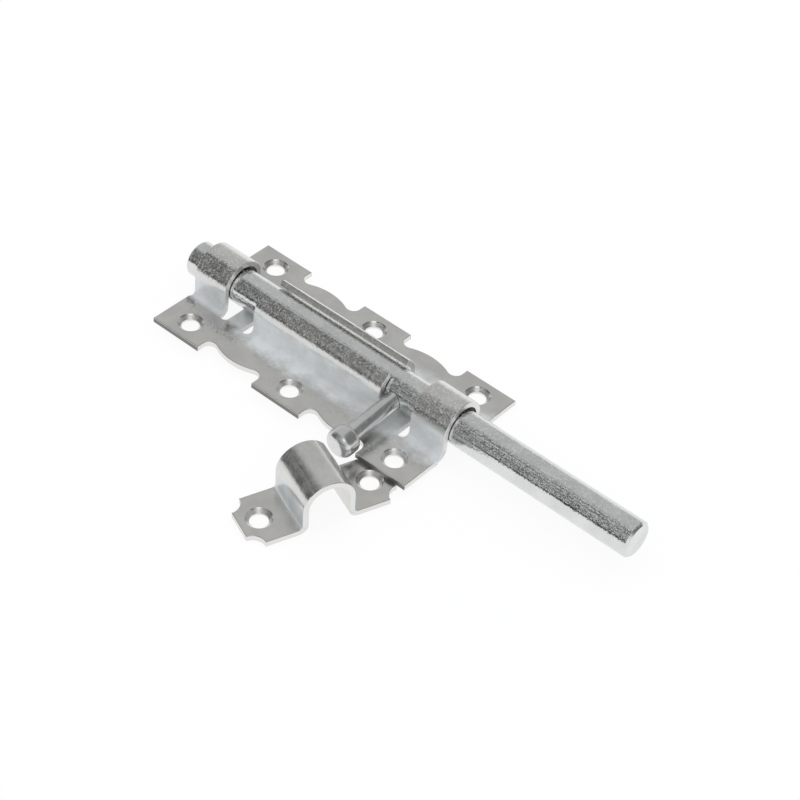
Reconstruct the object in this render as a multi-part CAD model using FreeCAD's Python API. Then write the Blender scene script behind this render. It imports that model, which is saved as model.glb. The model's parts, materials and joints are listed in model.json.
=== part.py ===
import FreeCAD, Part
import math
import os

# Sliding door bolt: a plate pressed from one sheet with guides for a round bolt,
# the bolt with its turned handle, and the loose keeper that goes on the frame.
# Units are millimetres. X is the way the bolt is thrown, +Z points away from the door.
# Origin: middle of the plate, on its back.

# sheet and screw holes, the same on the plate and on the keeper
SHEET = 2.5
SCREW_HOLE_R = 3.9
COUNTERSINK_R = 5.6
COUNTERSINK_HALF_ANGLE = 45.0
FOOT_R = 1.5              # bend between the flat sheet and an upright leg, on its outside
EDGE_R = 0.3              # roll-over that the press leaves along the outer edges

# plate
PLATE_LENGTH = 140.0
PLATE_WIDTH = 70.0
HOLE_FROM_END = 13.0
HOLE_FROM_SIDE = 8.9
SCALLOP_CENTRE = 28.6     # from the plate's middle
SCALLOP_WIDTH = 31.0
SCALLOP_CORNER_R = 3.5
SCALLOP_BULGE_R = 25.0
SCALLOP_BULGE_DEPTH = 4.2  # from the plate's edge to the top of the bulge

# guides pressed up out of the plate
GUIDE_R = 8.8             # inside
GUIDE_AXIS_Z = 11.0
STRAP_WIDTH = 17.6
CUT_WIDTH = 4.2           # round-ended cross cuts beside each strap and crossbar
CROSSBAR_WIDTH = 8.4
STRAP_INSET = 0.6         # the strap's outer end lies this far inside the plate's end
SLOT_HALF_ANGLE = 31.0    # slot along the top of the middle guide, where the handle runs

# bolt
BOLT_R = 8.0
BOLT_LENGTH = 235.0
BOLT_CHAMFER = 1.0
BOLT_OVER_CROSSBAR = 0.3
BOLT_SIDE_PLAY = 0.4      # the bolt lies this far off the guides' middle, towards the handle

# handle, with distances along its own axis from the bolt's axis
HANDLE_FROM_GUIDE = 0.5   # gap between the shank and the end of the middle guide
HANDLE_DROOP = 4.8        # degrees below level, the knob just clear of the plate's edge
SHANK_R = 4.0
SEAT_CLEARANCE = 0.2
SPIGOT_R = 3.0
SPIGOT_PAST_AXIS = 3.0
SPIGOT_FIT = 0.01
SPIGOT_TIP_CHAMFER = 0.5
BORE_BOTTOM_GAP = 0.5
KNOB_START = 32.8
KNOB_END = 42.2
KNOB_R = 6.4
KNOB_BACK_R = 2.8
KNOB_FRONT_R = 3.4

# keeper, lying on the same table as the plate with one foot under the plate's near edge
KEEPER_LENGTH = 65.0
KEEPER_WIDTH = 25.2
KEEPER_AXIS_Z = 11.5
KEEPER_CORNER_R = 5.7
KEEPER_HOLE_SPACING = 48.0
KEEPER_CENTRE = (47.6, -62.2)
KEEPER_TURN = -21.7       # degrees in plan, from its length lying along Y
KEEPER_GAP = 0.05         # left between its foot and the plate's back

# what the sizes above give
GUIDE_OUTER_R = GUIDE_R + SHEET
PLATE_END = PLATE_LENGTH / 2
PLATE_EDGE = PLATE_WIDTH / 2
STRAP_OUTER = PLATE_END - STRAP_INSET
STRAP_INNER = STRAP_OUTER - STRAP_WIDTH
CROSSBAR_OUTER = STRAP_INNER - CUT_WIDTH
CROSSBAR_INNER = CROSSBAR_OUTER - CROSSBAR_WIDTH
MIDDLE_END = CROSSBAR_INNER - CUT_WIDTH
FOOT_END = GUIDE_OUTER_R + FOOT_R
BOLT_AXIS = (-BOLT_SIDE_PLAY, SHEET + BOLT_OVER_CROSSBAR + BOLT_R)
HANDLE_X = MIDDLE_END + HANDLE_FROM_GUIDE + SHANK_R
SEAT_R = SHANK_R + SEAT_CLEARANCE
SEAT_LEVEL = math.sqrt(BOLT_R ** 2 - SEAT_R ** 2)
FAR = 2 * PLATE_LENGTH    # longer than anything that it has to cut through
TINY = 1e-4               # two lengths that differ by less are the same


def line(start, end):
    return Part.LineSegment(start, end).toShape()


def arc(start, middle, end):
    return Part.Arc(start, middle, end).toShape()


def closed_face(edges):
    """Flat face inside a closed outline, its edges given in any order."""
    outline, = Part.sortEdges(edges)
    return Part.Face(Part.Wire(outline))


def box(x_range, y_range, z_range):
    corner = FreeCAD.Vector(x_range[0], y_range[0], z_range[0])
    return Part.makeBox(x_range[1] - x_range[0], y_range[1] - y_range[0],
                        z_range[1] - z_range[0], corner)


def bent_section(half_length, axis_z, x):
    """The sheet's section across a guide or the keeper's loop, as a face at x."""
    def at(y, z):
        return FreeCAD.Vector(x, y, z)

    def leg(side, radius, foot_radius, level):
        """Flat foot, bend and upright on one side, from the edge up to the arch."""
        middle = foot_radius * (1 - math.sqrt(0.5))
        flat = at(side * FOOT_END, level)
        upright = at(side * radius, level + foot_radius)
        return [line(at(side * half_length, level), flat),
                arc(flat, at(side * (radius + middle), level + middle), upright),
                line(upright, at(side * radius, axis_z))]

    edges = []
    for radius, foot_radius, level in ((GUIDE_R, FOOT_R + SHEET, 0.0),
                                       (GUIDE_OUTER_R, FOOT_R, SHEET)):
        for side in (-1, 1):
            edges += leg(side, radius, foot_radius, level)
        edges.append(arc(at(-radius, axis_z), at(0, axis_z + radius), at(radius, axis_z)))
    for side in (-1, 1):
        edges.append(line(at(side * half_length, 0), at(side * half_length, SHEET)))
    return closed_face(edges)


def bent_sheet(half_length, axis_z, x_range):
    """The section run along X."""
    face = bent_section(half_length, axis_z, x_range[0])
    return face.extrude(FreeCAD.Vector(x_range[1] - x_range[0], 0, 0))


def on_outer_skin(point, axis_z):
    """Whether a point lies on the sheet's outer skin, which the punch meets first."""
    side, height = abs(point.y), point.z
    if height > axis_z:
        off = math.hypot(side, height - axis_z) - GUIDE_OUTER_R
    elif side < GUIDE_OUTER_R + TINY:
        off = side - GUIDE_OUTER_R
    elif side < FOOT_END:
        off = FOOT_R - math.hypot(FOOT_END - side, SHEET + FOOT_R - height)
    else:
        off = height - SHEET
    return abs(off) < TINY


def is_sharp(edge, shape):
    """Whether the two faces that meet at an edge stand at an angle there."""
    middle = edge.valueAt(edge.getParameterByLength(edge.Length / 2))
    normals = []
    for face in shape.ancestorsOfType(edge, Part.Face):
        u, v = face.Surface.parameter(middle)
        normals.append(face.normalAt(u, v))
    return len(normals) == 2 and abs(normals[0].dot(normals[1])) < 0.5


def rolled_over(shape, axis_z):
    """Round the sharp outer edges as the press rolls them over, but not the countersinks."""
    edges = []
    for edge in shape.Edges:
        points = edge.discretize(Number=7)
        rim = edge.Closed and abs(edge.Length - 2 * math.pi * COUNTERSINK_R) < TINY
        if not rim and all(on_outer_skin(p, axis_z) for p in points) and is_sharp(edge, shape):
            edges.append(edge)
    return shape.makeFillet(EDGE_R, edges)


def screw_hole(x, y):
    """Cutter for one countersunk screw hole, from above."""
    depth = (COUNTERSINK_R - SCREW_HOLE_R) / math.tan(math.radians(COUNTERSINK_HALF_ANGLE))
    up = FreeCAD.Vector(0, 0, 1)
    shank = Part.makeCylinder(SCREW_HOLE_R, FAR, FreeCAD.Vector(x, y, -FAR / 2), up)
    head = Part.makeCone(SCREW_HOLE_R, COUNTERSINK_R, depth,
                         FreeCAD.Vector(x, y, SHEET - depth), up)
    clear = Part.makeCylinder(COUNTERSINK_R, FAR, FreeCAD.Vector(x, y, SHEET), up)
    return shank.fuse([head, clear])


def scallop(centre_x, side):
    """Cutter for one notch in a long edge: round inner corners and a low bulge between."""
    half = SCALLOP_WIDTH / 2
    bulge_top = PLATE_EDGE - SCALLOP_BULGE_DEPTH
    bulge_y = bulge_top - SCALLOP_BULGE_R
    reach = SCALLOP_CORNER_R + SCALLOP_BULGE_R
    corner_x = half - SCALLOP_CORNER_R
    corner_y = bulge_y + math.sqrt(reach ** 2 - corner_x ** 2)
    slope = math.asin(corner_x / reach)
    outside = PLATE_EDGE + SCALLOP_WIDTH

    def at(x, y):
        return FreeCAD.Vector(centre_x + x, side * y, 0)

    def corner_point(way, angle):
        """Point on a corner's circle, angle measured from straight down, inwards."""
        return at(way * (corner_x - SCALLOP_CORNER_R * math.sin(angle)),
                  corner_y - SCALLOP_CORNER_R * math.cos(angle))

    edges = [arc(corner_point(-1, slope), at(0, bulge_top), corner_point(1, slope)),
             line(at(-half, outside), at(half, outside))]
    for way in (-1, 1):
        wall_foot = at(way * half, corner_y)
        middle = corner_point(way, (slope - math.pi / 2) / 2)
        edges += [arc(corner_point(way, slope), middle, wall_foot),
                  line(wall_foot, at(way * half, outside))]
    face = closed_face(edges)
    face.translate(FreeCAD.Vector(0, 0, -FAR / 2))
    return face.extrude(FreeCAD.Vector(0, 0, FAR))


def cross_cut(centre_x):
    """Cutter for one cut across the guides; its round ends start where the bends end."""
    radius = CUT_WIDTH / 2
    up = FreeCAD.Vector(0, 0, 1)
    cutter = box((centre_x - radius, centre_x + radius), (-FOOT_END, FOOT_END),
                 (-FAR / 2, FAR / 2))
    ends = [Part.makeCylinder(radius, FAR, FreeCAD.Vector(centre_x, side * FOOT_END, -FAR / 2), up)
            for side in (-1, 1)]
    return cutter.fuse(ends)


def handle_slot():
    """Cutter for the slot along the top of the middle guide, with walls square to the sheet."""
    spread = FAR * math.tan(math.radians(SLOT_HALF_ANGLE))
    corners = [FreeCAD.Vector(-MIDDLE_END, y, z) for y, z in (
        (0, GUIDE_AXIS_Z), (spread, GUIDE_AXIS_Z + FAR), (-spread, GUIDE_AXIS_Z + FAR))]
    face = Part.Face(Part.makePolygon(corners + corners[:1]))
    return face.extrude(FreeCAD.Vector(2 * MIDDLE_END, 0, 0))


def bolt_plate():
    plate = bent_sheet(PLATE_EDGE, GUIDE_AXIS_Z, (-PLATE_END, PLATE_END))
    cutters = [handle_slot()]
    crossbars = []
    for way in (-1, 1):
        bar = sorted((way * CROSSBAR_INNER, way * CROSSBAR_OUTER))
        cutters.append(box(bar, (-FOOT_END, FOOT_END), (-SHEET, FAR)))
        crossbars.append(box(bar, (-FOOT_END, FOOT_END), (0, SHEET)))
    plate = plate.cut(cutters).fuse(crossbars)
    cutters = []
    for way in (-1, 1):
        cut_centres = (MIDDLE_END + CUT_WIDTH / 2, CROSSBAR_OUTER + CUT_WIDTH / 2,
                       STRAP_OUTER + CUT_WIDTH / 2)
        cutters += [cross_cut(way * x) for x in cut_centres]
        for side in (-1, 1):
            cutters.append(scallop(way * SCALLOP_CENTRE, side))
    for x in (-PLATE_END + HOLE_FROM_END, 0, PLATE_END - HOLE_FROM_END):
        for side in (-1, 1):
            cutters.append(screw_hole(x, side * (PLATE_EDGE - HOLE_FROM_SIDE)))
    return rolled_over(plate.cut(cutters).removeSplitter(), GUIDE_AXIS_Z)


def keeper():
    plate = bent_sheet(KEEPER_LENGTH / 2, KEEPER_AXIS_Z, (-KEEPER_WIDTH / 2, KEEPER_WIDTH / 2))
    up = FreeCAD.Vector(0, 0, 1)
    cutters = []
    for end in (-1, 1):
        cutters.append(screw_hole(0, end * KEEPER_HOLE_SPACING / 2))
        for side in (-1, 1):
            corner = FreeCAD.Vector(side * KEEPER_WIDTH / 2, end * KEEPER_LENGTH / 2, -SHEET)
            cutters.append(Part.makeCylinder(KEEPER_CORNER_R, 3 * SHEET, corner, up))
    plate = rolled_over(plate.cut(cutters).removeSplitter(), KEEPER_AXIS_Z)
    plate.rotate(FreeCAD.Vector(0, 0, 0), up, KEEPER_TURN)
    plate.translate(FreeCAD.Vector(KEEPER_CENTRE[0], KEEPER_CENTRE[1], 0))
    # the plate stands on its far edge and on this foot, so the table leans under it
    reach = PLATE_EDGE - plate.BoundBox.YMax
    lean = math.degrees(math.asin((SHEET + KEEPER_GAP) / reach))
    plate.rotate(FreeCAD.Vector(0, PLATE_EDGE, 0), FreeCAD.Vector(1, 0, 0), lean)
    return plate


def along_handle(shape):
    """Move a shape made along +Z, from the bolt's axis, to where the handle points."""
    shape.rotate(FreeCAD.Vector(0, 0, 0), FreeCAD.Vector(1, 0, 0), 90 + HANDLE_DROOP)
    shape.translate(FreeCAD.Vector(HANDLE_X, BOLT_AXIS[0], BOLT_AXIS[1]))
    return shape


def bolt_rod():
    start = FreeCAD.Vector(HANDLE_X - BOLT_LENGTH / 2, BOLT_AXIS[0], BOLT_AXIS[1])
    rod = Part.makeCylinder(BOLT_R, BOLT_LENGTH, start, FreeCAD.Vector(1, 0, 0))
    rims = [edge for edge in rod.Edges if edge.Closed]
    rod = rod.makeChamfer(BOLT_CHAMFER, rims)
    up = FreeCAD.Vector(0, 0, 1)
    bottom = -SPIGOT_PAST_AXIS - BORE_BOTTOM_GAP
    bore = Part.makeCylinder(SPIGOT_R + SPIGOT_FIT, FAR, FreeCAD.Vector(0, 0, bottom), up)
    seat = Part.makeCylinder(SEAT_R, FAR, FreeCAD.Vector(0, 0, SEAT_LEVEL), up)
    return rod.cut(along_handle(bore.fuse(seat)))


def bolt_handle():
    """Spigot, shank and knob turned as one piece."""
    def at(radius, along):
        return FreeCAD.Vector(radius, 0, along)

    def rounded(radius, centre_along, bend, start_angle):
        """Quarter round of a turned corner, as its start, middle and end points."""
        return [at(radius - bend + bend * math.cos(math.radians(angle)),
                   centre_along + bend * math.sin(math.radians(angle)))
                for angle in (start_angle, start_angle + 45, start_angle + 90)]

    tip = -SPIGOT_PAST_AXIS
    back = rounded(KNOB_R, KNOB_START + KNOB_BACK_R, KNOB_BACK_R, -90)
    front = rounded(KNOB_R, KNOB_END - KNOB_FRONT_R, KNOB_FRONT_R, 0)
    outline = [at(0, tip), at(SPIGOT_R - SPIGOT_TIP_CHAMFER, tip),
               at(SPIGOT_R, tip + SPIGOT_TIP_CHAMFER), at(SPIGOT_R, SEAT_LEVEL),
               at(SHANK_R, SEAT_LEVEL), at(SHANK_R, KNOB_START), back[0]]
    edges = [line(a, b) for a, b in zip(outline, outline[1:])]
    edges += [arc(*back), line(back[2], front[0]), arc(*front),
              line(front[2], at(0, KNOB_END)), line(at(0, KNOB_END), at(0, tip))]
    face = Part.Face(Part.Wire(edges))
    solid = face.revolve(FreeCAD.Vector(0, 0, 0), FreeCAD.Vector(0, 0, 1), 360)
    return along_handle(solid)


os.makedirs("parts", exist_ok=True)
for name, make in (("bolt_plate", bolt_plate), ("bolt_rod", bolt_rod),
                   ("bolt_handle", bolt_handle), ("keeper", keeper)):
    solid, = make().Solids
    print(name, "valid", solid.isValid(), "volume", round(solid.Volume, 1), solid.BoundBox)
    solid.exportStep("parts/%s.step" % name)
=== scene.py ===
import json
import math
from collections import namedtuple

import bpy
from bpy.props import FloatProperty, FloatVectorProperty, PointerProperty
from mathutils import Euler, Matrix, Vector


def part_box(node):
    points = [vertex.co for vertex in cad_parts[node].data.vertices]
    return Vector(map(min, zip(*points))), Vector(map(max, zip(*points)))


bl_info = {
    "name": "Door bolt",
    "version": (1, 0, 0),
    "blender": (4, 5, 0),
    "location": "View3D > Sidebar > Door bolt",
    "description": "Finishes of a zinc-plated sliding door bolt, and the studio it is shown in",
    "category": "Object",
}

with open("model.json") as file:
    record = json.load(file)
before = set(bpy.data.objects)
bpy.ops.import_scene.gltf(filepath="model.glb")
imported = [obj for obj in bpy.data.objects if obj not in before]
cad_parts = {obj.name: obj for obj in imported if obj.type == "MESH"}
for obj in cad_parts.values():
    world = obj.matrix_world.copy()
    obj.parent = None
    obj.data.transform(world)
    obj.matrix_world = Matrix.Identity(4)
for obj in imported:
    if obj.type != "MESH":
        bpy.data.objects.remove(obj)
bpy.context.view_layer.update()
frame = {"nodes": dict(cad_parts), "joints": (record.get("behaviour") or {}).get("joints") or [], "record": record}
PLATE_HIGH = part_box("bolt_plate")[1]
KEEPER_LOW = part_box("keeper")[0]
TURN = frame["joints"][0]
KEEPER_SCREWS, = [m for m in frame["record"]["mounts"] if m["name"] == "keeper_screws"]

# the bent sheet and the handle as the frame has them, in metres; heights are over a sheet's back
BEND_INSIDE = 0.0088             # radius inside a guide or the keeper's loop
BEND_OUTSIDE = 0.0113
GUIDE_AXIS = 0.011               # height of the axis that the plate's guides are bent round
LOOP_AXIS = 0.0115               # height of the axis that the keeper's loop is bent round
STRAPS_FROM = 0.0495             # along X, both end guides lie beyond this
SLIT_EDGE = 0.0348               # along Y, the plate's long straight edges lie beyond this
CUT_TOP = 0.0022                 # height where a cut edge meets its small rounding
LEGS_FROM = 0.004                # height over which a leg stands upright
NOWHERE = 1.0                    # along X, past the end of any sheet
HANDLE_DROOP = math.radians(4.8)
KEEPER_TURN = math.radians(-21.7)

# soft borders of the painted reflection of the white table, laid as pale, dull plating: two distances in metres,
# between which it comes or goes
REFLECTION_ASIDE = (0.019, 0.030)      # along Y
REFLECTION_TOP = (0.0115, 0.0160)      # height
LEG_BOTTOM = (0.00252, 0.0028)   # height
LEG_SKIN = (0.0097, 0.0107)      # along Y, inside a leg's thickness
FLAT_TOP = (0.0028, 0.0036)      # height, just over the flat sheet
CROSSBAR_END = (0.0125, 0.0165)  # along Y
MIDDLE_GUIDE_FROM = -0.041       # along X, where the painted reflection begins in the corners of the flat
FLAT_BORDER = 0.004              # along X, to either side of where that begins
REFLECTION_WAVE = 0.012                # how far the border along Y wanders with the patches
LEG_REFLECTION = 0.85                  # how much painted reflection a leg gets, from 0 to 1
CROSSBAR_REFLECTION = 0.9
THIN_REFLECTION = 0.78                 # how much of the painted reflection is left in its thinnest patches

# the rest of the bent sheet, in metres
OPENED_GRAIN = (0.008, 0.012)    # height, between which the speckle comes
SHADE_BORDER = 0.0005             # along X, before the painted shade inside the end guides is full
CUT_MARGIN = 0.00015             # a bend's cut faces end this far from its surfaces
EDGE_MARGIN = 0.0001             # and the flat sheet's cut faces from its back
INSIDE_MARGIN = 0.00005          # a bend's inside is found this far into the sheet
EDGE_SHADOW_STRENGTH = 0.85             # how dark the painted shadow on the plate's long straight edges is, from 0 to 1

# patterns: values of the noise that a change runs between, and depths of lines in metres
PATCHES = (0.3, 0.7)
REFLECTION_PATCHES = (0.35, 0.65)
PATCH_TONES = (0.93, 1.04)       # how much darker and lighter the patches are
FROSTED_FROM = 0.45              # crystals over this are frosted, and those at 1 the most
WAVES_PER_GRAIN = 0.35           # one wave is about three crystals long
ROLLED_LINES = (60, 400, 60)     # cells per metre: the rolling lines run along X
DRAWN_STRETCH = 40               # a drawing line is this many times as long as it is wide
TURNED_CELLS = 20                # cells per metre across the handle
LINE_DEPTH = 0.000004
TURNED_LINE_DEPTH = 0.000006

# the table, the overhead lamp and the camera
RIM_POINTS = 96
SHADOW_FADES = (0.18, 0.7)       # metres from the bolt
WHITE_BY_THE_BOLT = 0.9          # how far the shadow is lightened, from 0 to 1
LAMP_PLACE = (-0.1, 0.5, 1.2)
LAMP_AIM = (0.04, 0, 0)
SENSOR_WIDTH = 36                # millimetres
CLIP_START = 0.01

# the room, in the X and Z of a direction of length 1
ROOM_WHITE = (0.05, 0.35)        # Z, between which the white wall takes the room's own level
THINGS_SCALE = 16.0
THINGS_LIT = (0.48, 0.62)        # values of their noise
THINGS_ASIDE = (-0.55, -0.36)    # X, between which more of them come to be lit
THINGS_LEFT = 0.4                # how brightly they are lit before that, from 0 to 1
THINGS_FROM = (0.06, 0.22)       # Z, between which they begin
# what stands in it: the direction it lies in, and the two angles from that, in degrees,
# between which it ends
DARK_SIDE = ((-0.478, -0.722, 0.5), 53, 35)
DOOR = ((0.65, 0.5, 0.57), 44, 30)
SIDE_LAMP = ((0.47, -0.46, 0.73), 17, 11)

SMOOTH = {"interpolation_type": "SMOOTHSTEP"}
IN_SPACE = {"noise_dimensions": "3D"}

Place = namedtuple("Place", "centre turn")
Bends = namedtuple("Bends", "axis_height haze_from dark_from crossbars")


def linear(colour):
    """An sRGB hex colour, such as "c4c4c1", as linear red, green and blue."""
    parts = [int(colour[i:i + 2], 16) / 255 for i in (0, 2, 4)]
    return [p / 12.92 if p <= 0.04045 else ((p + 0.055) / 1.055) ** 2.4 for p in parts]


def add_node(tree, kind, settings=None, inputs=()):
    """Add a node and set its properties. Its inputs are given by name or number, or as a list
    in their order, and each is set, or linked to a socket or to a node's first output."""
    node = tree.nodes.new(kind)
    for name, value in (settings or {}).items():
        setattr(node, name, value)
    pairs = inputs.items() if isinstance(inputs, dict) else enumerate(inputs)
    for key, value in pairs:
        if isinstance(value, bpy.types.Node):
            value = value.outputs[0]
        if isinstance(value, bpy.types.NodeSocket):
            tree.links.new(value, node.inputs[key])
        else:
            node.inputs[key].default_value = value
    return node


def new_material(name):
    """An empty node material and its tree."""
    material = bpy.data.materials.new(name)
    material.use_nodes = True
    material.node_tree.nodes.clear()
    return material, material.node_tree


# ---- finishes

class DoorBoltFinish(bpy.types.PropertyGroup):
    """Sizes and colours of the zinc plating, and of the painted reflection and painted shade on the sheet."""
    sheet_colour: FloatVectorProperty(
        name="Sheet colour", description="Zinc plating on the pressed sheet",
        subtype="COLOR", size=3, min=0, max=1, default=linear("dcdbd8"))
    bar_colour: FloatVectorProperty(
        name="Bar colour", description="Zinc plating on the drawn bar",
        subtype="COLOR", size=3, min=0, max=1, default=linear("dcdddd"))
    turned_colour: FloatVectorProperty(
        name="Turned colour", description="Zinc plating on the turned handle",
        subtype="COLOR", size=3, min=0, max=1, default=linear("dedfde"))
    grain: FloatProperty(
        name="Grain", description="Width of one bright or dark speck of the plating",
        subtype="DISTANCE", unit="LENGTH", min=0.0001, max=0.005, default=0.0006)
    grain_tilt: FloatProperty(
        name="Grain tilt", description="How far one crystal's face leans from the surface",
        min=0, max=1, default=0.1)
    frost: FloatProperty(
        name="Frost", description="How pale the frosted crystals of the plating are",
        subtype="FACTOR", min=0, max=1, default=0.38)
    wave_height: FloatProperty(
        name="Wave height", description="Height of the soft unevenness under the grain",
        subtype="DISTANCE", unit="LENGTH", min=0, max=0.001, default=0.00002, precision=6)
    drawing_line: FloatProperty(
        name="Drawing line", description="Width of the lines that the die leaves along the bar",
        subtype="DISTANCE", unit="LENGTH", min=0.0001, max=0.005, default=0.0004)
    turning_line: FloatProperty(
        name="Turning line", description="Distance between the tool's lines around the handle",
        subtype="DISTANCE", unit="LENGTH", min=0.0001, max=0.002, default=0.0003)
    # pale matt metal of the frosted crystals, which also paints the white table's reflection into the corners
    # beside the guides
    frost_and_reflection_colour: FloatVectorProperty(
        name="Haze colour", description="Dull plating in the corners beside the guides",
        subtype="COLOR", size=3, min=0, max=1, default=linear("e2e6e8"))
    cut_colour: FloatVectorProperty(
        name="Cut colour", description="Torn faces where the sheet was cut",
        subtype="COLOR", size=3, min=0, max=1, default=linear("e6e5e3"))
    # colour of the painted shade inside the end guides, and of the painted shadow on the plate's long straight
    # edges
    painted_shade_colour: FloatVectorProperty(
        name="Inside colour", description="Thin plating on the guides' insides",
        subtype="COLOR", size=3, min=0, max=1, default=linear("5c5b59"))
    blotch: FloatProperty(
        name="Blotch", description="Size of the cloudy patches in the plating",
        subtype="DISTANCE", unit="LENGTH", min=0.001, max=0.05, default=0.009)


def painted_corner_reflection(tree, ways, blotch, bends):
    """How much painted reflection of the white table the sheet gets, 0 to 1, laid as pale, dull
    plating: on the outside of the upright legs, from where the bends say along X in the flat
    corners beside them too, and, where there are crossbars under the bolt, on these."""
    height = ways.outputs["Z"]
    aside = add_node(tree, "ShaderNodeMath", {"operation": "ABSOLUTE"}, [ways.outputs["Y"]])
    wavy = add_node(tree, "ShaderNodeMath", {"operation": "MULTIPLY_ADD"},
                    [blotch, REFLECTION_WAVE, aside])
    near = add_node(tree, "ShaderNodeMapRange", SMOOTH, [wavy, *REFLECTION_ASIDE, 1.0, 0.0])
    low = add_node(tree, "ShaderNodeMapRange", SMOOTH, [height, *REFLECTION_TOP, 1.0, 0.0])

    # corners of the flat, legs and crossbars, whichever gets the most painted reflection
    where = add_node(tree, "ShaderNodeMapRange", SMOOTH,
                     [ways.outputs["X"], bends.haze_from - FLAT_BORDER,
                      bends.haze_from + FLAT_BORDER, 0.0, 1.0])
    others = [add_node(tree, "ShaderNodeMapRange", SMOOTH,
                       [height, *LEG_BOTTOM, 0.0, LEG_REFLECTION])]
    if bends.crossbars:
        others.append(add_node(tree, "ShaderNodeMapRange", SMOOTH,
                               [aside, *CROSSBAR_END, CROSSBAR_REFLECTION, 0.0]))
    for other in others:
        where = add_node(tree, "ShaderNodeMath", {"operation": "MAXIMUM"}, [where, other])

    # never on a leg's inside
    outside = add_node(tree, "ShaderNodeMapRange", SMOOTH, [aside, *LEG_SKIN, 0.0, 1.0])
    flat = add_node(tree, "ShaderNodeMapRange", SMOOTH, [height, *FLAT_TOP, 1.0, 0.0])
    open_to_air = add_node(tree, "ShaderNodeMath", {"operation": "MAXIMUM"}, [outside, flat])
    patchy = add_node(tree, "ShaderNodeMapRange", SMOOTH,
                      [blotch, *REFLECTION_PATCHES, 1.0, THIN_REFLECTION])
    reflection = near
    for share in (low, where, patchy, open_to_air):
        reflection = add_node(tree, "ShaderNodeMath", {"operation": "MULTIPLY"}, [reflection, share])
    return reflection


def bend_zones(tree, ways, bends):
    """Two masks for bent sheet: its cut faces, which lie between the inside and the outside
    radius or just over the back, and its painted shade, which darkens its inside beyond a distance
    along X and, as painted shadow, the two long edges where the strip was slit."""
    height = ways.outputs["Z"]
    up = add_node(tree, "ShaderNodeMath", {"operation": "SUBTRACT"},
                  [height, bends.axis_height])
    across = add_node(tree, "ShaderNodeCombineXYZ", {}, {"Y": ways.outputs["Y"], "Z": up})
    radius = add_node(tree, "ShaderNodeVectorMath", {"operation": "LENGTH"}, [across])
    aside = add_node(tree, "ShaderNodeMath", {"operation": "ABSOLUTE"}, [ways.outputs["Y"]])

    # over the axis the sheet runs round it, under the axis it stands upright
    above = add_node(tree, "ShaderNodeMath", {"operation": "GREATER_THAN"}, [up, 0.0])
    bent = add_node(tree, "ShaderNodeMath", {"operation": "GREATER_THAN"}, [height, LEGS_FROM])
    below = add_node(tree, "ShaderNodeMath", {"operation": "SUBTRACT"}, [bent, above])
    round_it = add_node(tree, "ShaderNodeMath", {"operation": "MULTIPLY"},
                        [radius.outputs["Value"], above])
    upright = add_node(tree, "ShaderNodeMath", {"operation": "MULTIPLY"}, [aside, below])
    reach = add_node(tree, "ShaderNodeMath", {"operation": "ADD"}, [round_it, upright])

    middle = (BEND_INSIDE + BEND_OUTSIDE) / 2
    between = add_node(tree, "ShaderNodeMath", {"operation": "COMPARE"},
                       [reach, middle, middle - BEND_INSIDE - CUT_MARGIN])
    bend_cut = add_node(tree, "ShaderNodeMath", {"operation": "MULTIPLY"}, [bent, between])
    edge = add_node(tree, "ShaderNodeMath", {"operation": "COMPARE"},
                    [height, CUT_TOP / 2, CUT_TOP / 2 - EDGE_MARGIN])
    cut = add_node(tree, "ShaderNodeMath", {"operation": "MAXIMUM"}, [bend_cut, edge])

    # painted shadow on the plate's long straight edges, and painted shade inside the end guides
    far_out = add_node(tree, "ShaderNodeMath", {"operation": "GREATER_THAN"},
                       [aside, SLIT_EDGE])
    edge_shadow = add_node(tree, "ShaderNodeMath", {"operation": "MULTIPLY"}, [edge, far_out])
    within = add_node(tree, "ShaderNodeMath", {"operation": "LESS_THAN"},
                      [reach, BEND_INSIDE + INSIDE_MARGIN])
    inside = add_node(tree, "ShaderNodeMath", {"operation": "MULTIPLY"}, [bent, within])
    along = add_node(tree, "ShaderNodeMath", {"operation": "ABSOLUTE"}, [ways.outputs["X"]])
    shade_ramp = add_node(tree, "ShaderNodeMapRange", SMOOTH,
                     [along, bends.dark_from - SHADE_BORDER, bends.dark_from, 0.0, 1.0])
    inside_shade = add_node(tree, "ShaderNodeMath", {"operation": "MULTIPLY"}, [inside, shade_ramp])
    dark = add_node(tree, "ShaderNodeMath", {"operation": "MULTIPLY_ADD"},
                    [edge_shadow, EDGE_SHADOW_STRENGTH, inside_shade])
    return cut, dark


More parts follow.
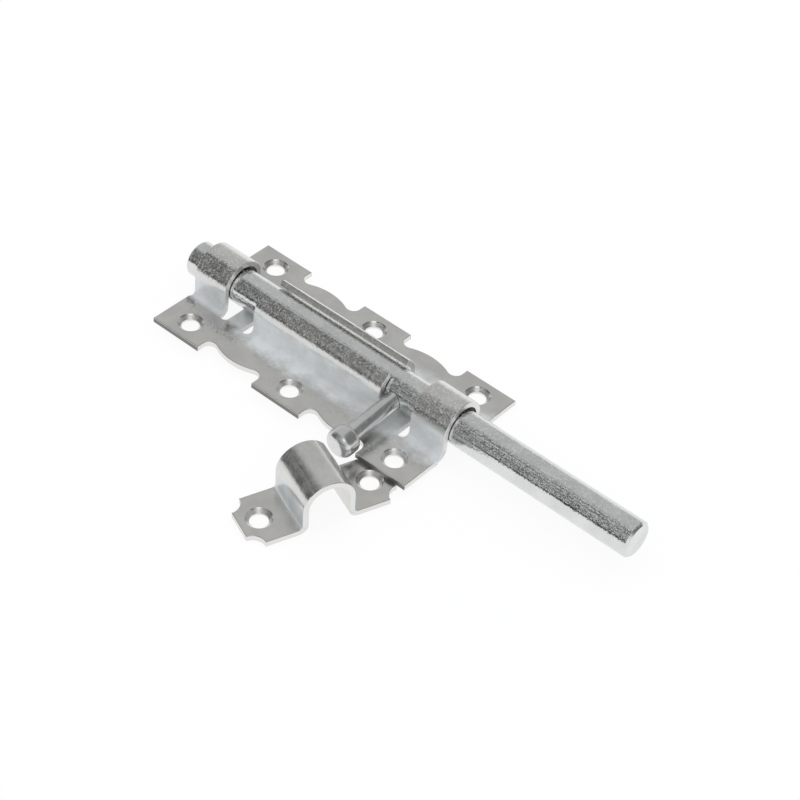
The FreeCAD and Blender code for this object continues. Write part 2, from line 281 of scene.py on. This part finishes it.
def zinc_plate(name, colour, finish, place, roughness, grain_share, line_scale, line_depth,
               bends=None):
    """Bright zinc plating: glossy metal that sparkles where small crystal faces lean this
    way and that, with cloudy patches of more and less gloss, over the lines that the
    metal's making left.

    place centres and turns the patterns on the piece. grain_share is how much of the
    grain shows, from 0 to 1, and line_scale the number of pattern cells per metre along
    the place's own axes. Bent sheet has bends: the height of the axis it is bent round,
    where along X the painted reflection of the white table begins in its flat corners, how far
    from the middle its inside gets painted shade, and whether it has crossbars under the bolt."""
    material, tree = new_material(name)
    coords = add_node(tree, "ShaderNodeTexCoord")
    placed = add_node(tree, "ShaderNodeMapping", {"vector_type": "TEXTURE"},
                      {"Vector": coords.outputs["Object"], "Location": place.centre,
                       "Rotation": place.turn})
    crystals = add_node(tree, "ShaderNodeTexVoronoi", {"voronoi_dimensions": "3D"},
                        {"Vector": placed, "Scale": 1 / finish.grain})
    wave = add_node(tree, "ShaderNodeTexNoise", IN_SPACE,
                    {"Vector": placed, "Scale": WAVES_PER_GRAIN / finish.grain,
                     "Detail": 2.0, "Roughness": 0.6})
    blotch = add_node(tree, "ShaderNodeTexNoise", IN_SPACE,
                      {"Vector": placed, "Scale": 1 / finish.blotch,
                       "Detail": 3.0, "Roughness": 0.55})
    stretched = add_node(tree, "ShaderNodeVectorMath", {"operation": "MULTIPLY"},
                         [placed, line_scale])
    lines = add_node(tree, "ShaderNodeTexNoise", IN_SPACE,
                     {"Vector": stretched, "Scale": 1.0, "Detail": 2.0})
    uneven = add_node(tree, "ShaderNodeBump", {},
                      {"Height": wave, "Distance": finish.wave_height * grain_share,
                       "Strength": 1.0})
    lined = add_node(tree, "ShaderNodeBump", {},
                     {"Height": lines, "Distance": line_depth, "Strength": 1.0,
                      "Normal": uneven})

    # each crystal's face leans its own way
    lean = add_node(tree, "ShaderNodeVectorMath", {"operation": "SUBTRACT"},
                    [crystals.outputs["Color"], (0.5, 0.5, 0.5)])
    little = add_node(tree, "ShaderNodeVectorMath", {"operation": "SCALE"},
                      {0: lean, "Scale": finish.grain_tilt * grain_share})
    leaning = add_node(tree, "ShaderNodeVectorMath", {"operation": "ADD"}, [lined, little])
    face = add_node(tree, "ShaderNodeVectorMath", {"operation": "NORMALIZE"}, [leaning])

    gloss = add_node(tree, "ShaderNodeMapRange", SMOOTH, [blotch, *PATCHES, *roughness])
    tone = add_node(tree, "ShaderNodeMapRange", SMOOTH, [blotch, *PATCHES, *PATCH_TONES])
    tint = add_node(tree, "ShaderNodeVectorMath", {"operation": "SCALE"},
                    {0: colour, "Scale": tone})
    bright = add_node(tree, "ShaderNodeBsdfPrincipled", {},
                      {"Base Color": tint, "Metallic": 1.0, "Roughness": gloss,
                       "Normal": face})
    # pale matt metal: the frosted crystals, and the painted reflection of the white table
    frost_and_reflection_metal = add_node(tree, "ShaderNodeBsdfPrincipled", {},
                    {"Base Color": (*finish.frost_and_reflection_colour, 1), "Metallic": 0.2,
                     "Roughness": 0.5, "Normal": face})
    # some crystals are frosted, which shows as pale specks where the metal mirrors the dark
    chance = add_node(tree, "ShaderNodeSeparateColor", {}, [crystals.outputs["Color"]])
    frosted = add_node(tree, "ShaderNodeMapRange", SMOOTH,
                       [chance.outputs["Blue"], FROSTED_FROM, 1.0,
                        0.0, finish.frost * grain_share])
    if bends is None:
        shader = add_node(tree, "ShaderNodeMixShader", {}, [frosted, bright, frost_and_reflection_metal])
    else:
        ways = add_node(tree, "ShaderNodeSeparateXYZ", {}, [placed])
        cut, dark = bend_zones(tree, ways, bends)
        # the shears leave the cut faces torn and duller
        torn = add_node(tree, "ShaderNodeBsdfPrincipled", {},
                        {"Base Color": (*finish.cut_colour, 1), "Metallic": 1.0,
                         "Roughness": 0.38, "Normal": face})
        # painted shade: dark grey metal laid inside the end guides, and as painted shadow on the plate's long
        # straight edges
        painted_shade_metal = add_node(tree, "ShaderNodeBsdfPrincipled", {},
                        {"Base Color": (*finish.painted_shade_colour, 1), "Metallic": 0.7,
                         "Roughness": 0.5, "Normal": face})
        # painted reflection of the white table on the legs, the corners beside them and the crossbars, laid as
        # pale, dull plating
        reflection = painted_corner_reflection(tree, ways, blotch, bends)
        # bending opens up the grain, while the flat sheet stays as smooth as it was rolled
        opened = add_node(tree, "ShaderNodeMapRange", SMOOTH,
                          [ways.outputs["Z"], *OPENED_GRAIN, 0.0, 1.0])
        specks = add_node(tree, "ShaderNodeMath", {"operation": "MULTIPLY"}, [frosted, opened])
        pale = add_node(tree, "ShaderNodeMath", {"operation": "MAXIMUM"}, [reflection, specks])
        shader = bright
        # cut faces, then painted shade and painted shadow, then frosted specks together with the painted
        # reflection
        for mask, other in ((cut, torn), (dark, painted_shade_metal), (pale, frost_and_reflection_metal)):
            shader = add_node(tree, "ShaderNodeMixShader", {}, [mask, shader, other])
    add_node(tree, "ShaderNodeOutputMaterial", {}, {"Surface": shader})
    return material


def give_finish(node_name, material):
    """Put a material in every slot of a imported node."""
    node = frame["nodes"][node_name]
    for slot in node.material_slots:
        slot.material = material


class DOORBOLT_OT_finish_sheet(bpy.types.Operator):
    """Plate the pressed sheet of the bolt plate and the keeper"""
    bl_idname = "doorbolt.finish_sheet"
    bl_label = "Finish plate and keeper"

    def execute(self, context):
        finish = context.scene.door_bolt_finish
        # rolled and pressed: smooth and bright on the flat, speckled on the guides' backs,
        # and with a painted reflection of the white table where they rise from the plate
        plate = zinc_plate("zinc_plated_pressed_steel", finish.sheet_colour, finish,
                           Place((0, 0, 0), (0, 0, 0)), (0.15, 0.23), 0.75,
                           ROLLED_LINES, LINE_DEPTH,
                           Bends(GUIDE_AXIS, MIDDLE_GUIDE_FROM, STRAPS_FROM, True))
        give_finish("bolt_plate", plate)
        # the keeper leans as its screws do, and is turned in its own plane
        lean = math.asin(-KEEPER_SCREWS["axis"][1])
        turned = Matrix.Rotation(lean, 3, "X") @ Matrix.Rotation(KEEPER_TURN, 3, "Z")
        # the same sheet, bent: a softer gloss, with less speckle on the loop
        loop = zinc_plate("zinc_plated_bent_steel", finish.sheet_colour, finish,
                          Place(KEEPER_SCREWS["pos_m"], turned.to_euler()), (0.19, 0.27), 0.4,
                          ROLLED_LINES, LINE_DEPTH,
                          Bends(LOOP_AXIS, NOWHERE, NOWHERE, False))
        give_finish("keeper", loop)
        return {"FINISHED"}


class DOORBOLT_OT_finish_bar(bpy.types.Operator):
    """Plate the drawn bar of the bolt"""
    bl_idname = "doorbolt.finish_bar"
    bl_label = "Finish bolt"

    def execute(self, context):
        finish = context.scene.door_bolt_finish
        across = 1 / finish.drawing_line
        # drawn through a die: the brightest of the pieces, with pale specks in its dark side
        material = zinc_plate("zinc_plated_drawn_steel", finish.bar_colour, finish,
                              Place(TURN["pos_m"], (0, 0, 0)), (0.1, 0.16), 0.75,
                              (across / DRAWN_STRETCH, across, across), LINE_DEPTH)
        give_finish("bolt_rod", material)
        return {"FINISHED"}


class DOORBOLT_OT_finish_handle(bpy.types.Operator):
    """Plate the turned handle"""
    bl_idname = "doorbolt.finish_handle"
    bl_label = "Finish handle"

    def execute(self, context):
        finish = context.scene.door_bolt_finish
        along = 1 / finish.turning_line
        # turned: fine lines around it blur what it mirrors to a satin gloss
        material = zinc_plate("zinc_plated_turned_steel", finish.turned_colour, finish,
                              Place(TURN["pos_m"], (math.pi / 2 + HANDLE_DROOP, 0, 0)),
                              (0.22, 0.28), 0.3, (TURNED_CELLS, TURNED_CELLS, along),
                              TURNED_LINE_DEPTH)
        give_finish("bolt_handle", material)
        return {"FINISHED"}


# ---- studio

class DoorBoltStudio(bpy.types.PropertyGroup):
    """The table, the light and the camera."""
    table_colour: FloatVectorProperty(
        name="Table colour", description="White table top",
        subtype="COLOR", size=3, min=0, max=1, default=linear("f4f6f7"))
    table_radius: FloatProperty(
        name="Table radius", description="The round table's radius",
        subtype="DISTANCE", unit="LENGTH", min=0.5, max=20, default=6.0)
    room_level: FloatProperty(
        name="Room level", description="Brightness of the white room high above the table",
        min=0, max=2, default=0.56)
    dark_level: FloatProperty(
        name="Dark level", description="Brightness of the room's dark side",
        min=0, max=2, default=0.05)
    door_level: FloatProperty(
        name="Door level", description="Brightness of the grey door behind the bolt",
        min=0, max=2, default=0.2)
    clutter_level: FloatProperty(
        name="Clutter level", description="Brightness of the lit things in the dark side",
        min=0, max=4, default=1.0)
    lamp_level: FloatProperty(
        name="Lamp level", description="Brightness of the soft lamp beside the camera",
        min=0, max=5, default=1.3)
    lamp_power: FloatProperty(
        name="Lamp power", description="Power of the soft lamp overhead",
        unit="POWER", min=0, max=500, default=2.0)
    lamp_size: FloatProperty(
        name="Lamp size", description="Side of the square soft lamp overhead",
        subtype="DISTANCE", unit="LENGTH", min=0.1, max=5, default=0.9)
    camera_place: FloatVectorProperty(
        name="Camera place", description="Where the camera stands",
        subtype="TRANSLATION", unit="LENGTH", size=3, default=(0.4246, -0.5164, 0.6022))
    camera_turn: FloatVectorProperty(
        name="Camera turn", description="Which way the camera looks",
        subtype="EULER", unit="ROTATION", size=3, default=(0.82055, -0.07663, 0.71491))
    lens: FloatProperty(
        name="Lens", description="Focal length in millimetres on a 36 mm sensor",
        min=10, max=500, default=97.1)


def table_lean():
    """How far the table leans from the plate's back, in radians: the bolt stands on the
    plate's far edge and on the keeper, whose foot lies under the plate's near edge."""
    far = PLATE_HIGH[1]
    drop = -KEEPER_LOW[2]
    return math.asin(drop / (far - KEEPER_LOW[1]))


def build_table(studio):
    """A round white table, flat under the bolt, seen as white away from its shadow."""
    lean = table_lean()
    rim = []
    for i in range(RIM_POINTS):
        turn = 2 * math.pi * i / RIM_POINTS
        across = Vector((math.cos(turn), math.sin(turn) * math.cos(lean),
                         math.sin(turn) * math.sin(lean)))
        rim.append(Vector((0, PLATE_HIGH[1], 0)) + across * studio.table_radius)
    mesh = bpy.data.meshes.new("table")
    mesh.from_pydata(rim, [], [list(range(RIM_POINTS))])
    table = bpy.data.objects.new("table", mesh)
    bpy.context.scene.collection.objects.link(table)

    material, tree = new_material("white_table_top")
    matt = add_node(tree, "ShaderNodeBsdfDiffuse", {}, {"Color": (*studio.table_colour, 1)})
    glow = add_node(tree, "ShaderNodeEmission", {}, {"Color": (1, 1, 1, 1), "Strength": 1.0})
    # white to the camera, in the metal and through glass, and matt to all other light
    path = add_node(tree, "ShaderNodeLightPath")
    seen = path.outputs["Is Camera Ray"]
    for ray in ("Is Glossy Ray", "Is Transmission Ray"):
        seen = add_node(tree, "ShaderNodeMath", {"operation": "MAXIMUM"},
                        [seen, path.outputs[ray]])
    coords = add_node(tree, "ShaderNodeTexCoord")
    away = add_node(tree, "ShaderNodeVectorMath", {"operation": "LENGTH"},
                    [coords.outputs["Object"]])
    share = add_node(tree, "ShaderNodeMapRange", SMOOTH,
                     [away.outputs["Value"], *SHADOW_FADES, WHITE_BY_THE_BOLT, 1.0])
    white = add_node(tree, "ShaderNodeMath", {"operation": "MULTIPLY"}, [seen, share])
    shader = add_node(tree, "ShaderNodeMixShader", {}, [white, matt, glow])
    add_node(tree, "ShaderNodeOutputMaterial", {}, {"Surface": shader})
    mesh.materials.append(material)


def build_room(studio):
    """A soft white room with a dark side, a grey door and a lamp beside the camera."""
    world = bpy.data.worlds.new("room")
    bpy.context.scene.world = world
    world.use_nodes = True
    tree = world.node_tree
    tree.nodes.clear()
    coords = add_node(tree, "ShaderNodeTexCoord")
    direction = coords.outputs["Generated"]
    ways = add_node(tree, "ShaderNodeSeparateXYZ", {}, [direction])
    # white low down, greyer above
    level = add_node(tree, "ShaderNodeMapRange", SMOOTH,
                     [ways.outputs["Z"], *ROOM_WHITE, 1.0, studio.room_level])

    # the dark side is full of small things, lit and unlit: more of them are lit to the
    # camera's right, and none near the table
    things = add_node(tree, "ShaderNodeTexNoise", IN_SPACE,
                      {"Vector": direction, "Scale": THINGS_SCALE, "Detail": 2.0,
                       "Roughness": 0.6})
    lit = add_node(tree, "ShaderNodeMapRange", SMOOTH,
                   [ways.outputs["X"], *THINGS_ASIDE, THINGS_LEFT, 1.0])
    for value, limits in ((ways.outputs["Z"], THINGS_FROM), (things, THINGS_LIT)):
        share = add_node(tree, "ShaderNodeMapRange", SMOOTH, [value, *limits, 0.0, 1.0])
        lit = add_node(tree, "ShaderNodeMath", {"operation": "MULTIPLY"}, [lit, share])
    clutter = add_node(tree, "ShaderNodeMath", {"operation": "MULTIPLY_ADD"},
                       [lit, studio.clutter_level, studio.dark_level])

    # the dark open side is left of the camera, the grey door behind the bolt to the right,
    # and the soft lamp beside the camera
    for (towards, wide, narrow), level_there in ((DARK_SIDE, clutter),
                                                 (DOOR, studio.door_level),
                                                 (SIDE_LAMP, studio.lamp_level)):
        facing = add_node(tree, "ShaderNodeVectorMath", {"operation": "DOT_PRODUCT"},
                          [direction, Vector(towards).normalized()])
        share = add_node(tree, "ShaderNodeMapRange", SMOOTH,
                         [facing.outputs["Value"], math.cos(math.radians(wide)),
                          math.cos(math.radians(narrow)), 0.0, 1.0])
        level = add_node(tree, "ShaderNodeMix", {"data_type": "FLOAT"},
                         {0: share, 2: level, 3: level_there})

    # the camera sees plain white, and matt surfaces are lit by it
    path = add_node(tree, "ShaderNodeLightPath")
    plain = add_node(tree, "ShaderNodeMath", {"operation": "MAXIMUM"},
                     [path.outputs["Is Camera Ray"], path.outputs["Is Diffuse Ray"]])
    shown = add_node(tree, "ShaderNodeMix", {"data_type": "FLOAT"}, {0: plain, 2: level, 3: 1.0})
    light = add_node(tree, "ShaderNodeBackground", {},
                     {"Color": (1, 1, 1, 1), "Strength": shown})
    add_node(tree, "ShaderNodeOutputWorld", {}, {"Surface": light})


class DOORBOLT_OT_studio(bpy.types.Operator):
    """Build the table, the room, the lamp and the camera"""
    bl_idname = "doorbolt.studio"
    bl_label = "Studio"

    def execute(self, context):
        studio = context.scene.door_bolt_studio
        build_table(studio)
        build_room(studio)

        light = bpy.data.lights.new("soft_lamp", "AREA")
        light.energy = studio.lamp_power
        light.size = studio.lamp_size
        lamp = bpy.data.objects.new("soft_lamp", light)
        lamp.visible_glossy = False
        context.scene.collection.objects.link(lamp)
        lamp.location = LAMP_PLACE
        lamp.rotation_euler = (Vector(LAMP_AIM) - lamp.location).to_track_quat(
            "-Z", "Y").to_euler()

        camera_data = bpy.data.cameras.new("camera")
        camera_data.sensor_width = SENSOR_WIDTH
        camera_data.lens = studio.lens
        camera_data.clip_start = CLIP_START
        camera = bpy.data.objects.new("camera", camera_data)
        context.scene.collection.objects.link(camera)
        camera.location = studio.camera_place
        camera.rotation_euler = Euler(studio.camera_turn)
        context.scene.camera = camera
        context.scene.view_settings.view_transform = "Standard"
        return {"FINISHED"}


# ---- add-on

class DOORBOLT_PT_panel(bpy.types.Panel):
    """Sizes, colours and steps of the door bolt"""
    bl_label = "Door bolt"
    bl_idname = "DOORBOLT_PT_panel"
    bl_space_type = "VIEW_3D"
    bl_region_type = "UI"
    bl_category = "Door bolt"

    def draw(self, context):
        scene = context.scene
        for group in (scene.door_bolt_finish, scene.door_bolt_studio):
            box = self.layout.box()
            for name in group.__annotations__:
                box.prop(group, name)
        for operator in STEPS:
            self.layout.operator(operator.bl_idname)


STEPS = (DOORBOLT_OT_finish_sheet, DOORBOLT_OT_finish_bar, DOORBOLT_OT_finish_handle,
         DOORBOLT_OT_studio)
CLASSES = (DoorBoltFinish, DoorBoltStudio, *STEPS, DOORBOLT_PT_panel)


def register():
    for cls in CLASSES:
        bpy.utils.register_class(cls)
    bpy.types.Scene.door_bolt_finish = PointerProperty(type=DoorBoltFinish)
    bpy.types.Scene.door_bolt_studio = PointerProperty(type=DoorBoltStudio)


def unregister():
    del bpy.types.Scene.door_bolt_studio
    del bpy.types.Scene.door_bolt_finish
    for cls in reversed(CLASSES):
        bpy.utils.unregister_class(cls)


def main():
    register()
    bpy.ops.doorbolt.finish_sheet()
    bpy.ops.doorbolt.finish_bar()
    bpy.ops.doorbolt.finish_handle()
    bpy.ops.doorbolt.studio()


if __name__ == "__main__":
    main()
